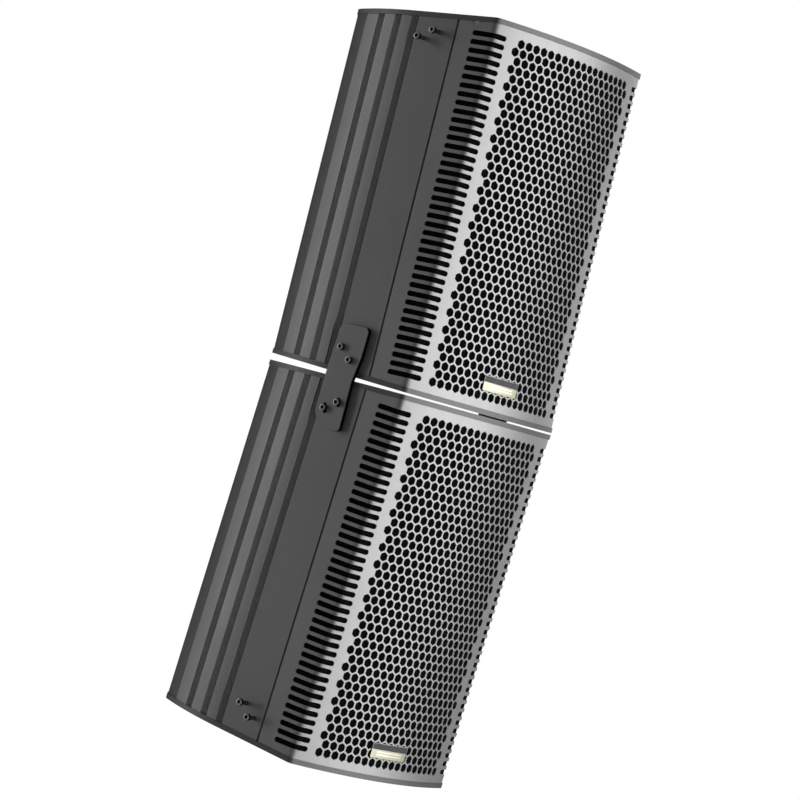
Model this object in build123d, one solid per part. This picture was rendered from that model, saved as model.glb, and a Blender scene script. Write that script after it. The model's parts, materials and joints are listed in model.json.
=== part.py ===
from build123d import *
import math
import os

# ---------------------------------------------------------------------------
# Two-module line array loudspeaker.  Millimetres, +Z up, front towards -Y.
# Each module is drawn in its own frame: X centred, Y = 0 on the two front
# vertical corner lines, Z = 0 on the bottom front corner line.
# The whole row's origin is the middle of the four top rigging bolts.
# ---------------------------------------------------------------------------
MODULE_H = 448.1        # height on the front corner line, outside the end caps
HALF_W = 143.0          # half of the width between the side panels
SAGITTA = 21.5          # how far the grille bows forward of its corner lines
WEDGE_DEG = 2.77        # slope of each end plane
SPLAY_DEG = 4.12        # angle between the two modules as built
FRONT_GAP = 2.6         # gap between the modules on the front corner line
CAP_T = 6.0             # end cap thickness
CAP_OVER = 1.0          # end cap overhang past the panels

GRILLE_T = 1.5          # grille sheet thickness
GRILLE_RETURN = 56.0    # depth of the grille's side returns
BEND_R = 5.0            # outer radius of its two corner bends
HOLE_PITCH = 12.2       # hole pitch along a row
ROW_PITCH = 10.43       # row pitch
HOLE_AF = 9.8           # hexagonal hole, across flats
ROWS = 40
FIRST_ROW_Z = 20.0      # lowest row
SLOT_H = 6.1            # corner slot height
SLOT_SIDE = 33.0        # corner slot reach on the side return
SLOT_FRONT = 18.5       # corner slot reach on the front

SHELL_T = 4.0           # extruded shell wall
SHELL_Y0 = 36.0         # front edge of the shell's rebate
SEAM_Y = 59.0           # where the shell's side panel starts
SIDE_STRAIGHT = 125.0   # the side panel is flat up to here
SIDE_R = 285.0          # then it curves in on this radius
CORNER_Y = 228.0        # and turns into the back from here
CORNER_R = 24.0
GROOVE_D = 1.5          # depth of the lengthwise grooves
GROOVES = [(118.8, 130.6), (146.2, 158.0), (175.9, 187.9)]
RIB_Y0 = 211.5          # finely ribbed band starts here and runs round the corner
RIB_PITCH = 2.4
RIB_D = 0.8

BAFFLE_Y = 38.0         # front face of the baffle
BAFFLE_T = 15.0
WOOFER_Z = [91.0, 357.0]
HORN_Z = 224.0
CONE_TRAVEL = 4.0       # cone travel each way

BOLT_R = 2.5            # M5 rigging bolt shank
BOLT_HEAD_R = 4.25
BOLT_HEAD_H = 5.0
BOLT_PROUD = 15.0       # free-end bolts stand this far off the side
PLATE_T = 6.5           # link plate's outer face, off the module's side: 5 mm of plate
PLATE_RELIEF = 1.5      # on 1.5 mm bosses round the upper holes, clear of the caps
SWING_DEG = 1.75        # the lower bolts' slots allow this much each way

# bolt positions (y, z) in each module's own frame
UPPER_TOP_BOLTS = [(82.4, 420.8), (103.2, 411.1)]
UPPER_LOW_BOLTS = [(87.2, 22.0), (104.1, 35.3)]
LOWER_TOP_BOLTS = [(86.6, 415.1), (104.4, 404.1)]
LOWER_LOW_BOLTS = [(72.2, 32.4), (89.9, 45.7)]

# row origin, in the frame whose Y = 0, Z = 0 is the splay axis
ORIGIN_Y = 92.8
ORIGIN_Z = 417.25

tan_w = math.tan(math.radians(WEDGE_DEG))
ARC_R = (HALF_W ** 2 + SAGITTA ** 2) / (2 * SAGITTA)
ARC_Y = ARC_R - SAGITTA      # the grille's arc is centred here


# ---------------------------------------------------------------- helpers
def edge_line(a, b):
    return Line((a[0], a[1]), (b[0], b[1]))


def rounded(points, radii):
    """Closed polygon with a rounded corner of its own radius at each point."""
    n = len(points)
    cut = []
    for i in range(n):
        p, a, b = points[i], points[i - 1], points[(i + 1) % n]
        r = radii[i]
        ua = (a[0] - p[0], a[1] - p[1])
        ub = (b[0] - p[0], b[1] - p[1])
        la, lb = math.hypot(*ua), math.hypot(*ub)
        ua = (ua[0] / la, ua[1] / la)
        ub = (ub[0] / lb, ub[1] / lb)
        c = max(-1.0, min(1.0, ua[0] * ub[0] + ua[1] * ub[1]))
        half = math.acos(c) / 2
        t = r / math.tan(half)
        s = (p[0] + ua[0] * t, p[1] + ua[1] * t)
        e = (p[0] + ub[0] * t, p[1] + ub[1] * t)
        bis = (ua[0] + ub[0], ua[1] + ub[1])
        lbis = math.hypot(*bis)
        d = r / math.sin(half)
        ctr = (p[0] + bis[0] / lbis * d, p[1] + bis[1] / lbis * d)
        m = (ctr[0] - bis[0] / lbis * r, ctr[1] - bis[1] / lbis * r)
        cut.append((s, m, e))
    edges = []
    for i in range(n):
        s, m, e = cut[i]
        edges.append(ThreePointArc(s, m, e))
        nxt = cut[(i + 1) % n][0]
        if math.hypot(nxt[0] - e[0], nxt[1] - e[1]) > 1e-6:
            edges.append(Line(e, nxt))
    return make_face(edges)


def prism_x(face_yz, x0, x1):
    """Extrude a (y, z) outline between two X values."""
    return extrude(Plane.YZ.offset(x0) * face_yz, x1 - x0)


def box(x0, x1, y0, y1, z0, z1):
    return Pos((x0 + x1) / 2, (y0 + y1) / 2, (z0 + z1) / 2) * Box(x1 - x0, y1 - y0, z1 - z0)


def cyl_x(x0, x1, y, z, r):
    return Plane(origin=(x0, y, z), x_dir=(0, 1, 0), z_dir=(1, 0, 0)) * Cylinder(
        r, x1 - x0, align=(Align.CENTER, Align.CENTER, Align.MIN))


def cyl_y(x, y0, y1, z, r):
    return Plane(origin=(x, y0, z), x_dir=(1, 0, 0), z_dir=(0, 1, 0)) * Cylinder(
        r, y1 - y0, align=(Align.CENTER, Align.CENTER, Align.MIN))


def cyl_z(x, y, z0, z1, r):
    return Pos(x, y, z0) * Cylinder(r, z1 - z0, align=(Align.CENTER, Align.CENTER, Align.MIN))


def hex_x(x0, x1, y, z, af):
    return extrude(Plane(origin=(x0, y, z), x_dir=(0, 1, 0), z_dir=(1, 0, 0)) *
                   RegularPolygon(af / 2, 6, major_radius=False), x1 - x0)


def revolve_y(points, z, x=0.0, y=0.0):
    """Revolve a closed (radius, y) outline about an axis along Y."""
    face = Plane.XY * make_face(Polyline([(p[0], p[1]) for p in points], close=True))
    return Pos(x, y, z) * revolve(face, Axis.Y, 360)


def core(inset, half_x=200.0):
    """The space between the two end planes, pulled in by inset at each end."""
    d = inset / math.cos(math.radians(WEDGE_DEG))
    y0, y1 = -60.0, 300.0
    pts = [(y0, tan_w * y0 + d), (y1, tan_w * y1 + d),
           (y1, MODULE_H - tan_w * y1 - d), (y0, MODULE_H - tan_w * y0 - d)]
    return prism_x(make_face(Polyline(pts, close=True)), -half_x, half_x)


def arc_y(x, inset):
    """Y of the bowed front at this X, moved in by inset."""
    r = ARC_R - inset
    return ARC_Y - math.sqrt(r * r - x * x)


def front_u(inset, y_back, corner):
    """Plan of the grille-shaped U: bowed front, straight sides, flat at y_back."""
    w = HALF_W - inset
    e = arc_y(w, inset)
    f = make_face([Line((-w, y_back), (-w, e)),
                   ThreePointArc((-w, e), (0, ARC_Y - (ARC_R - inset)), (w, e)),
                   Line((w, e), (w, y_back)), Line((w, y_back), (-w, y_back))])
    if corner > 0:
        vs = [v for v in f.vertices() if abs(v.Y - e) < 1e-3]
        f = fillet(vs, corner)
    return f


def side_point(y, depth=0.0):
    """Point on the shell's right outer side at this Y, moved in by depth."""
    if y <= SIDE_STRAIGHT:
        return (HALF_W - depth, y)
    cx = HALF_W - SIDE_R
    a = math.asin((y - SIDE_STRAIGHT) / SIDE_R)
    r = SIDE_R - depth
    return (cx + r * math.cos(a), SIDE_STRAIGHT + r * math.sin(a))


CORNER_A = math.asin((CORNER_Y - SIDE_STRAIGHT) / SIDE_R)
_px, _py = side_point(CORNER_Y)
CORNER_CX = _px - CORNER_R * math.cos(CORNER_A)
CORNER_CY = _py - CORNER_R * math.sin(CORNER_A)
BACK_Y = CORNER_CY + CORNER_R


def corner_point(a, depth=0.0):
    r = CORNER_R - depth
    return (CORNER_CX + r * math.cos(a), CORNER_CY + r * math.sin(a))


def shell_outline(extra=0.0, y0=SEAM_Y, plain=False):
    """Right half of the shell's outer outline from y0 round to the back.

    Returned as a list of edges; the grooves and fine ribs are left out when
    plain is set, and extra moves the outline outwards.
    """
    e = []

    def main_arc(ya, yb):
        if yb <= SIDE_STRAIGHT:
            e.append(Line(side_point(ya, -extra), side_point(yb, -extra)))
            return
        if ya < SIDE_STRAIGHT:
            e.append(Line(side_point(ya, -extra), side_point(SIDE_STRAIGHT, -extra)))
            ya = SIDE_STRAIGHT
        e.append(ThreePointArc(side_point(ya, -extra), side_point((ya + yb) / 2, -extra),
                               side_point(yb, -extra)))

    if plain:
        main_arc(y0, CORNER_Y)
        e.append(ThreePointArc(corner_point(CORNER_A, -extra),
                               corner_point((CORNER_A + math.pi / 2) / 2, -extra),
                               corner_point(math.pi / 2, -extra)))
        return e
    y = y0
    for ga, gb in GROOVES:
        main_arc(y, ga)
        # a groove with three small ribs on its floor
        n = 5
        step = (gb - ga) / n
        pts = [side_point(ga)]
        for i in range(n):
            a, b = ga + i * step, ga + (i + 1) * step
            pts += [side_point(a + 0.25, GROOVE_D), side_point(b - 0.75, GROOVE_D)]
            if i < n - 1:
                pts += [side_point(b - 0.5, GROOVE_D * 0.45), side_point(b, GROOVE_D * 0.45)]
        pts.append(side_point(gb))
        for p, q in zip(pts, pts[1:]):
            e.append(edge_line(p, q))
        y = gb
    main_arc(y, RIB_Y0)
    # fine ribs: first on the side's own curve, then round the rear corner
    pts = [side_point(RIB_Y0)]
    n = int(round((CORNER_Y - RIB_Y0) / RIB_PITCH))
    step = (CORNER_Y - RIB_Y0) / n
    for i in range(n):
        a = RIB_Y0 + i * step
        pts += [side_point(a + 0.2, RIB_D), side_point(a + step * 0.5, RIB_D),
                side_point(a + step * 0.5 + 0.2, 0.0), side_point(a + step, 0.0)]
    pts[-1] = corner_point(CORNER_A)
    span = math.radians(84.0) - CORNER_A
    n = int(round(span * CORNER_R / RIB_PITCH))
    da = span / n
    for i in range(n):
        a = CORNER_A + i * da
        pts += [corner_point(a + 0.2 / CORNER_R, RIB_D), corner_point(a + da * 0.5, RIB_D),
                corner_point(a + da * 0.5 + 0.2 / CORNER_R), corner_point(a + da)]
    for p, q in zip(pts, pts[1:]):
        e.append(edge_line(p, q))
    a0 = CORNER_A + span
    e.append(ThreePointArc(corner_point(a0), corner_point((a0 + math.pi / 2) / 2),
                           corner_point(math.pi / 2)))
    return e


def mirrored(edges):
    return [mirror(x, Plane.YZ) for x in edges]


def closed_outline(half, front_edges):
    """Close a right-half outline with its mirror image, the back and the front."""
    back = Line((CORNER_CX, 0), (-CORNER_CX, 0))
    ymax = max(v.Y for x in half for v in x.vertices())
    back = Line((CORNER_CX, ymax), (-CORNER_CX, ymax))
    return make_face(half + mirrored(half) + [back] + front_edges)


# ------------------------------------------------------------ module parts
def make_rear_shell(bolts):
    half = [Line((HALF_W - 1.8, SHELL_Y0), (HALF_W - 1.8, SEAM_Y)),
            Line((HALF_W - 1.8, SEAM_Y), side_point(SEAM_Y))] + shell_outline()
    outer = closed_outline(half, [Line((-(HALF_W - 1.8), SHELL_Y0), (HALF_W - 1.8, SHELL_Y0))])
    inner_half = [Line((HALF_W - SHELL_T, SHELL_Y0 - 5), (HALF_W - SHELL_T, SIDE_STRAIGHT)),
                  ThreePointArc(side_point(SIDE_STRAIGHT, SHELL_T),
                                side_point((SIDE_STRAIGHT + CORNER_Y) / 2, SHELL_T),
                                side_point(CORNER_Y, SHELL_T)),
                  ThreePointArc(corner_point(CORNER_A, SHELL_T),
                                corner_point((CORNER_A + math.pi / 2) / 2, SHELL_T),
                                corner_point(math.pi / 2, SHELL_T))]
    inner = closed_outline(inner_half, [Line((-(HALF_W - SHELL_T), SHELL_Y0 - 5),
                                             (HALF_W - SHELL_T, SHELL_Y0 - 5))])
    plan = outer - inner
    # screw bosses that run the whole height
    for bx, by in BOSSES:
        plan += Pos(bx, by) * Circle(4.6)
    plan = plan & outer
    for bx, by in BOSSES:
        plan -= Pos(bx, by) * Circle(2.0)
    body = Pos(0, 0, -40) * extrude(plan, MODULE_H + 80)
    body = body & core(CAP_T)
    # openings in the back: input plate, bracket screws; in the sides: rigging bolts
    cuts = [box(-52, 52, BACK_Y - 10, BACK_Y + 10, INPUT_Z - 32, INPUT_Z + 32)]
    for sx in (-1, 1):
        for sz in (-1, 1):
            cuts.append(cyl_y(sx * 35, BACK_Y - 10, BACK_Y + 10, BRACKET_Z + sz * 35, 3.0))
            cuts.append(cyl_y(sx * 57, BACK_Y - 10, BACK_Y + 10, INPUT_Z + sz * 34, 1.75))
        for y, z in bolts:
            cuts.append(cyl_x(sx * 141 - 9, sx * 141 + 9, y, z, BOLT_R + 0.05))
    return body - cuts


INPUT_Z = 95.0
BRACKET_Z = 224.0
BOSSES = [(134.7, 60.5), (-134.7, 60.5), (126.6, 196.0), (-126.6, 196.0), (66.0, 236.0), (-66.0, 236.0)]


def make_grille():
    outer = front_u(0.0, GRILLE_RETURN, BEND_R)
    inner = front_u(GRILLE_T, GRILLE_RETURN + 5, BEND_R - GRILLE_T)
    sheet = Pos(0, 0, -40) * extrude(outer - inner, MODULE_H + 80)
    sheet = sheet & core(CAP_T + 0.1)
    tools = []
    for k in range(ROWS):
        z = FIRST_ROW_Z + k * ROW_PITCH
        n = 19 if k % 2 == 0 else 18
        for j in range(n):
            a = (j - (n - 1) / 2) * HOLE_PITCH / ARC_R
            pl = Plane(origin=(ARC_R * math.sin(a), ARC_Y - ARC_R * math.cos(a), z),
                       x_dir=(math.cos(a), math.sin(a), 0),
                       z_dir=(-math.sin(a), math.cos(a), 0)).offset(-3)
            tools.append(extrude(pl * RegularPolygon(HOLE_AF / 2, 6, major_radius=False, rotation=30), 7))
        # slot over each corner, level with the row
        r = SLOT_H / 2
        a = math.asin(HALF_W / ARC_R)
        for s in (-1, 1):
            side = box(s * HALF_W - 3, s * HALF_W + 3, -8, SLOT_SIDE - r, z - r, z + r) + \
                cyl_x(s * HALF_W - 3, s * HALF_W + 3, SLOT_SIDE - r, z, r)
            pl = Plane(origin=(s * HALF_W, arc_y(HALF_W, 0), z), x_dir=(-s * math.cos(a), -math.sin(a), 0),
                       z_dir=(-s * math.sin(a), math.cos(a), 0))
            length = SLOT_FRONT - r
            front = pl * (Pos(length / 2, 0, 0) * Box(length, SLOT_H, 5.6) +
                          Pos(length, 0, 0) * Cylinder(r, 5.6))
            tools.append(side + front)
    return sheet - tools


def make_cap(top):
    half = shell_outline(extra=CAP_OVER, y0=40.0, plain=True)
    w = HALF_W + CAP_OVER
    e = arc_y(HALF_W, 0) - 0.6
    front = [Line((w, 40.0), (w, e)),
             ThreePointArc((w, e), (0, -SAGITTA - CAP_OVER), (-w, e)),
             Line((-w, e), (-w, 40.0))]
    plan = closed_outline(half, front)
    vs = [v for v in plan.vertices() if abs(v.Y - e) < 1e-3]
    plan = fillet(vs, BEND_R + CAP_OVER)
    slab = Pos(0, 0, -40) * extrude(plan, MODULE_H + 80)
    slab = slab & core(0.0)
    slab = slab - core(CAP_T)
    keep = box(-200, 200, -60, 300, MODULE_H / 2, MODULE_H + 60) if top else \
        box(-200, 200, -60, 300, -60, MODULE_H / 2)
    cap = slab & keep
    outside = [ed for ed in cap.edges() if abs(
        (ed.center().Z - (MODULE_H - tan_w * ed.center().Y if top else tan_w * ed.center().Y))) < 0.2]
    try:
        cap = chamfer(outside, 0.6)
    except Exception:
        pass
    cuts = []
    for bx, by in BOSSES:
        zf = (MODULE_H - tan_w * by) if top else tan_w * by
        if top:
            cuts += [cyl_z(bx, by, zf - 10, zf + 5, 2.0), cyl_z(bx, by, zf - 2.7, zf + 5, 4.2)]
        else:
            cuts += [cyl_z(bx, by, zf - 5, zf + 10, 2.0), cyl_z(bx, by, zf - 5, zf + 2.7, 4.2)]
    return cap - cuts


def make_cap_screws():
    out = []
    for bx, by in BOSSES:
        for top in (True, False):
            zf = (MODULE_H - tan_w * by) if top else tan_w * by
            if top:
                s = cyl_z(bx, by, zf - 22, zf - 2.7, 2.0) + cyl_z(bx, by, zf - 2.7, zf - 0.5, 4.0)
                s -= extrude(Pos(bx, by, zf - 1.9) * RegularPolygon(1.25, 6, major_radius=False), 3)
            else:
                s = cyl_z(bx, by, zf + 2.7, zf + 22, 2.0) + cyl_z(bx, by, zf + 0.5, zf + 2.7, 4.0)
                s -= extrude(Pos(bx, by, zf - 1.1) * RegularPolygon(1.25, 6, major_radius=False), 3)
            out.append(s)
    return out


def make_foam():
    f = front_u(GRILLE_T + 0.3, SHELL_Y0 - 1.0, BEND_R - GRILLE_T) - front_u(GRILLE_T + 5.3, SHELL_Y0 + 10.0, 0.0)
    return (Pos(0, 0, -40) * extrude(f, MODULE_H + 80)) & core(CAP_T + 0.3)


def make_badge():
    w, h, t = 64.5, 18.5, 1.2
    ring = Pos(0, ARC_Y) * (Circle(ARC_R + t + 0.05) - Circle(ARC_R + 0.05))
    slab = Pos(0, 0, BADGE_Z - h / 2) * extrude(ring, h)
    plan = box(-w / 2, w / 2, -60, 20, BADGE_Z - h / 2, BADGE_Z + h / 2)
    b = slab & plan
    edges = [e for e in b.edges() if abs(abs(e.center().X) - w / 2) < 0.2 and
             abs(abs(e.center().Z - BADGE_Z) - h / 2) < 0.05]
    try:
        b = fillet(edges, 1.5)
    except Exception:
        pass
    return b


BADGE_Z = 35.6


def make_baffle(screws):
    b = box(-138.8, 138.8, BAFFLE_Y, BAFFLE_Y + BAFFLE_T, -20, MODULE_H + 20) & core(CAP_T + 0.2)
    cuts = [cyl_y(0, BAFFLE_Y - 5, BAFFLE_Y + BAFFLE_T + 5, z, 73.0) for z in WOOFER_Z]
    mouth = Pos(0, BAFFLE_Y + BAFFLE_T / 2, HORN_Z) * Box(228, BAFFLE_T + 10, 91)
    cuts.append(mouth)
    for x, z in screws:
        cuts.append(cyl_y(x, BAFFLE_Y - 5, BAFFLE_Y + 12.1, z, 2.0))
    return b - cuts


WOOFER_SCREWS = [(77.6 * math.cos(math.radians(a)), 77.6 * math.sin(math.radians(a)))
                 for a in (45, 135, 225, 315)]
HORN_SCREWS = [(x, z) for x in (-118, 118) for z in (-42, 42)]


def all_screws():
    pts = [(x, zc + z) for zc in WOOFER_Z for x, z in WOOFER_SCREWS]
    pts += [(x, HORN_Z + z) for x, z in HORN_SCREWS]
    return pts


def make_driver_screws():
    out = []
    f = BAFFLE_Y - 4.0
    for x, z in all_screws():
        s = cyl_y(x, f, f + 16, z, 2.0) + cyl_y(x, f - 2.4, f, z, 3.8)
        s -= cyl_y(x, f - 2.5, f - 1.2, z, 1.4)
        out.append(s)
    return out


def make_basket(z):
    """Pressed steel basket: front ring, six-window cone, magnet seat."""
    f = BAFFLE_Y - 4.0
    prof = [(66.0, f), (82.4, f), (82.4, f + 4), (72.5, f + 4), (72.5, f + 6), (45.0, 80.0), (45.0, 84.0),
            (18.5, 84.0), (18.5, 81.5), (42.3, 81.5), (42.3, 79.0), (69.5, f + 6.5), (69.5, f + 3),
            (66.0, f + 3)]
    b = revolve_y(prof, z)
    cuts = []
    for i in range(6):
        a = math.radians(60 * i + 30)
        pl = Plane(origin=(0, 61.0, z), x_dir=(-math.sin(a), 0, math.cos(a)),
                   z_dir=(math.cos(a), 0, math.sin(a))).offset(30)
        cuts.append(extrude(pl * rounded([(-14, -13), (14, -13), (20, 13), (-20, 13)] if pl.y_dir.Y < 0
                                         else [(-20, -13), (20, -13), (14, 13), (-14, 13)],
                                         [4, 4, 4, 4]), 50))
    for x, dz in WOOFER_SCREWS:
        cuts.append(cyl_y(x, f - 1, f + 5, z + dz, 2.0))
    return b - cuts


def make_magnet(z):
    """Top plate, ring magnet, back plate and pole, as one motor with its gap."""
    prof = [(0, 84.0), (14.0, 84.0), (14.0, 102.0), (17.4, 102.0), (17.4, 84.0), (40.0, 84.0),
            (40.0, 90.0), (42.0, 90.0), (42.0, 106.0), (40.0, 106.0), (40.0, 112.0), (0, 112.0)]
    return revolve_y(prof, z)


def make_surround(z):
    """Half-roll rubber surround with its glued outer lip."""
    f = BAFFLE_Y - 4.0
    rc, ro, t = 67.2, 4.6, 0.8
    pts = [(73.0, f), (62.6, f), (62.6, f - 0.8)]
    n = 14
    for i in range(n + 1):
        a = math.pi - math.pi * i / n
        pts.append((rc + ro * math.cos(a), f - 0.8 - ro * math.sin(a)))
    pts += [(73.0, f - 0.8)]
    outer = pts
    inner = []
    for i in range(n + 1):
        a = math.pi - math.pi * i / n
        inner.append((rc + (ro - t) * math.cos(a), f - (ro - t) * math.sin(a) * 1.0))
    inner[0] = (rc - ro + t, f)
    inner[-1] = (rc + ro - t, f)
    poly = [(62.6, f), (62.6, f - 0.8)] + pts[3:] + [(73.0, f)] + inner[::-1]
    poly = [p for i, p in enumerate(poly) if i == 0 or math.hypot(p[0] - poly[i - 1][0], p[1] - poly[i - 1][1]) > 1e-6]
    return revolve_y(poly, z)


def make_cone(z):
    """Paper cone, dust cap and coil former, the piece that moves."""
    prof = [(62.1, 33.0), (62.1, 34.0), (40.0, 49.2), (16.2, 60.5), (15.6, 61.5), (15.6, 92.0),
            (14.9, 92.0), (14.9, 60.0), (13.0, 56.6), (8.0, 54.2), (0.0, 53.2), (0.0, 52.2),
            (8.3, 53.2), (13.6, 55.7), (17.6, 58.4), (40.0, 47.8), (60.6, 33.9), (60.6, 33.0)]
    return revolve_y(prof, z)


def make_spiders():
    out = []
    for z in WOOFER_Z:
        pts_t, pts_b = [], []
        n = 24
        for i in range(n + 1):
            r = 16.6 + (46.6 - 16.6) * i / n
            w = 1.2 * math.sin(i / n * math.pi * 8)
            pts_t.append((r, 71.6 + w))
            pts_b.append((r, 72.5 + w))
        out.append(revolve_y(pts_t + pts_b[::-1], z))
    return out


def make_horn():
    """Rectangular flare on a flange, down to a round throat."""
    f = BAFFLE_Y - 4.0
    flange = box(-124, 124, f, f + 4.0, HORN_Z - 49.3, HORN_Z + 49.3)

    def ring(y, w, h, r):
        pl = Plane(origin=(0, y, HORN_Z), x_dir=(1, 0, 0), z_dir=(0, 1, 0))
        return pl * RectangleRounded(w, h, r)

    outer = loft([ring(f + 3.9, 222, 86, 10), ring(f + 30, 120, 58, 16), ring(f + 68, 36, 36, 17.9)])
    inner = loft([ring(f - 0.2, 217, 81, 8), ring(f + 28.5, 114, 52, 14), ring(f + 68.2, 25.4, 25.4, 12.6)])
    tail = cyl_y(0, f + 66, f + 73, HORN_Z, 34.0)
    h = flange + outer + tail
    h -= inner
    h -= cyl_y(0, f + 60, f + 80, HORN_Z, 12.6)
    h -= [cyl_y(x, f - 1, f + 5, HORN_Z + dz, 2.0) for x, dz in HORN_SCREWS]
    return h


def make_driver():
    y = BAFFLE_Y - 4.0 + 73.0
    pts = [(12.7, y), (34.0, y), (34.0, y + 6), (43.0, y + 6), (43.0, y + 26), (38.0, y + 26),
           (38.0, y + 40), (35.0, y + 44), (0, y + 44), (0, y + 14), (12.7, y + 12)]
    return revolve_y(pts, HORN_Z)


def make_board():
    y = 228.0
    pcb = box(-65, 65, y, y + 1.6, 285, 375)
    feet = [cyl_y(x, y + 1.6, 239.25, z, 3.0) for x in (-58, 58) for z in (291, 369)]
    return [pcb] + feet


def make_board_parts():
    y = 228.0
    out = []
    for x, z, r, h in ((-38, 348, 17, 16), (30, 345, 15, 16)):
        c = cyl_y(x, y - h, y, z, r) - cyl_y(x, y - h - 1, y - 3, z, r * 0.42)
        out.append(c)
    for x, z, l in ((-36, 312, 34), (14, 312, 40)):
        out.append(cyl_x(x - l / 2, x + l / 2, y - 9.1, z, 9.0))
    for x, z in ((50, 300), (50, 312)):
        out.append(box(x - 11, x + 11, y - 9, y, z - 4.5, z + 4.5))
    out.append(box(-62, -46, y - 10, y, 325, 331))
    return out


def make_input_plate():
    p = extrude(Plane(origin=(0, BACK_Y + 0.02, INPUT_Z), x_dir=(1, 0, 0), z_dir=(0, 1, 0)) *
                RectangleRounded(124, 78, 5), 2.0)
    cuts = [cyl_y(x, BACK_Y - 5, BACK_Y + 5, INPUT_Z, 12.3) for x in SOCKET_X]
    for sx in (-1, 1):
        for sz in (-1, 1):
            cuts.append(cyl_y(sx * 57, BACK_Y - 5, BACK_Y + 5, INPUT_Z + sz * 34, 1.75))
    return p - cuts


SOCKET_X = (-25.0, 25.0)


def make_sockets():
    out = []
    y = BACK_Y + 2.02
    for x in SOCKET_X:
        flange = extrude(Plane(origin=(x, y, INPUT_Z), x_dir=(1, 0, 0), z_dir=(0, 1, 0)) *
                         RectangleRounded(26, 31, 2), 1.8)
        body = cyl_y(x, y - 28, y + 1.8, INPUT_Z, 12.2)
        s = flange + body - cyl_y(x, y - 16, y + 5, INPUT_Z, 10.2)
        # blind holes of the flange's two fixing screws
        s -= [cyl_y(x + d * 9.5, y + 0.6, y + 5, INPUT_Z + d * 12, 1.6) for d in (-1, 1)]
        out.append(s)
    return out


def make_input_screws():
    out = []
    for sx in (-1, 1):
        for sz in (-1, 1):
            y = BACK_Y + 2.02
            s = cyl_y(sx * 57, y - 12, y, INPUT_Z + sz * 34, 1.75) + \
                cyl_y(sx * 57, y, y + 2.0, INPUT_Z + sz * 34, 3.3)
            s -= cyl_y(sx * 57, y + 0.9, y + 3, INPUT_Z + sz * 34, 1.2)
            out.append(s)
    return out


def make_rigging_blocks(bolts):
    """Tapped steel blocks behind the side bolts and the rear bracket holes."""
    out = []
    inner = HALF_W - SHELL_T
    ends = [[b for b in bolts if b[1] < 200], [b for b in bolts if b[1] > 200]]
    for s in (-1, 1):
        for pair in ends:
            cz = sum(b[1] for b in pair) / 2
            x0, x1 = sorted((s * (inner - 12.0), s * (inner - 0.02)))
            blk = box(x0, x1, min(b[0] for b in pair) - 6, max(b[0] for b in pair) + 14,
                      cz - 16, cz + 16)
            blk = blk - [cyl_x(x0 - 1, x1 + 1, y, z, BOLT_R + 0.05) for y, z in pair]
            out.append(blk)
    y1 = BACK_Y - SHELL_T - 0.02
    blk = box(-46, 46, y1 - 8, y1, BRACKET_Z - 46, BRACKET_Z + 46)
    blk -= [cyl_y(sx * 35, y1 - 10, y1 + 1, BRACKET_Z + sz * 35, 3.0) for sx in (-1, 1) for sz in (-1, 1)]
    out.append(blk)
    return out


def make_lining():
    """Two wadding sheets on the inside of the flat side walls."""
    return [box(*sorted((s * 124.5, s * 138.0)), 67.0, 148.0, 70.0, 378.0) for s in (-1, 1)]


def side_bolts(bolts, stand):
    """Socket-head bolts through both side walls; stand is the head's underside."""
    out = []
    for s in (-1, 1):
        for y, z in bolts:
            x_in = s * (HALF_W - SHELL_T - 11.0)
            x_under = s * (HALF_W + stand)
            x_top = s * (HALF_W + stand + BOLT_HEAD_H)
            b = cyl_x(*sorted((x_in, x_under)), y, z, BOLT_R) + \
                cyl_x(*sorted((x_under, x_top)), y, z, BOLT_HEAD_R)
            b -= hex_x(*sorted((x_top - s * 2.6, x_top + s * 1.0)), y, z, 4.0)
            out.append(b)
    return out


# ------------------------------------------------------------ link plates
def splay_frame_point(y, z, lower):
    """From a module's own (y, z) to the frame of the splay axis."""
    if not lower:
        return (y, z + FRONT_GAP / 2)
    z = z - MODULE_H - FRONT_GAP / 2
    a = math.radians(SPLAY_DEG)
    return (y * math.cos(a) - z * math.sin(a), y * math.sin(a) + z * math.cos(a))


PLATE_OUTLINE = [(69.8, 65.3), (114.1, 64.6), (119.1, 12.0), (121.8, -46.8), (93.5, -61.0),
                 (77.8, -61.0), (77.3, -2.0), (71.3, 30.0)]
PLATE_RADII = [7, 10, 60, 11, 20, 5, 25, 25]


def arc_slot(yc, zc, half_w, swing):
    """Curved slot about the splay axis, long enough for a bolt to swing."""
    r = math.hypot(yc, zc)
    a0 = math.atan2(zc, yc)
    lo, hi = a0 - swing, a0 + swing

    def p(rad, a):
        return (rad * math.cos(a), rad * math.sin(a))

    band = make_face([ThreePointArc(p(r - half_w, lo), p(r - half_w, a0), p(r - half_w, hi)),
                      Line(p(r - half_w, hi), p(r + half_w, hi)),
                      ThreePointArc(p(r + half_w, hi), p(r + half_w, a0), p(r + half_w, lo)),
                      Line(p(r + half_w, lo), p(r - half_w, lo))])
    e0, e1 = p(r, lo), p(r, hi)
    return band, e0, e1


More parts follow.
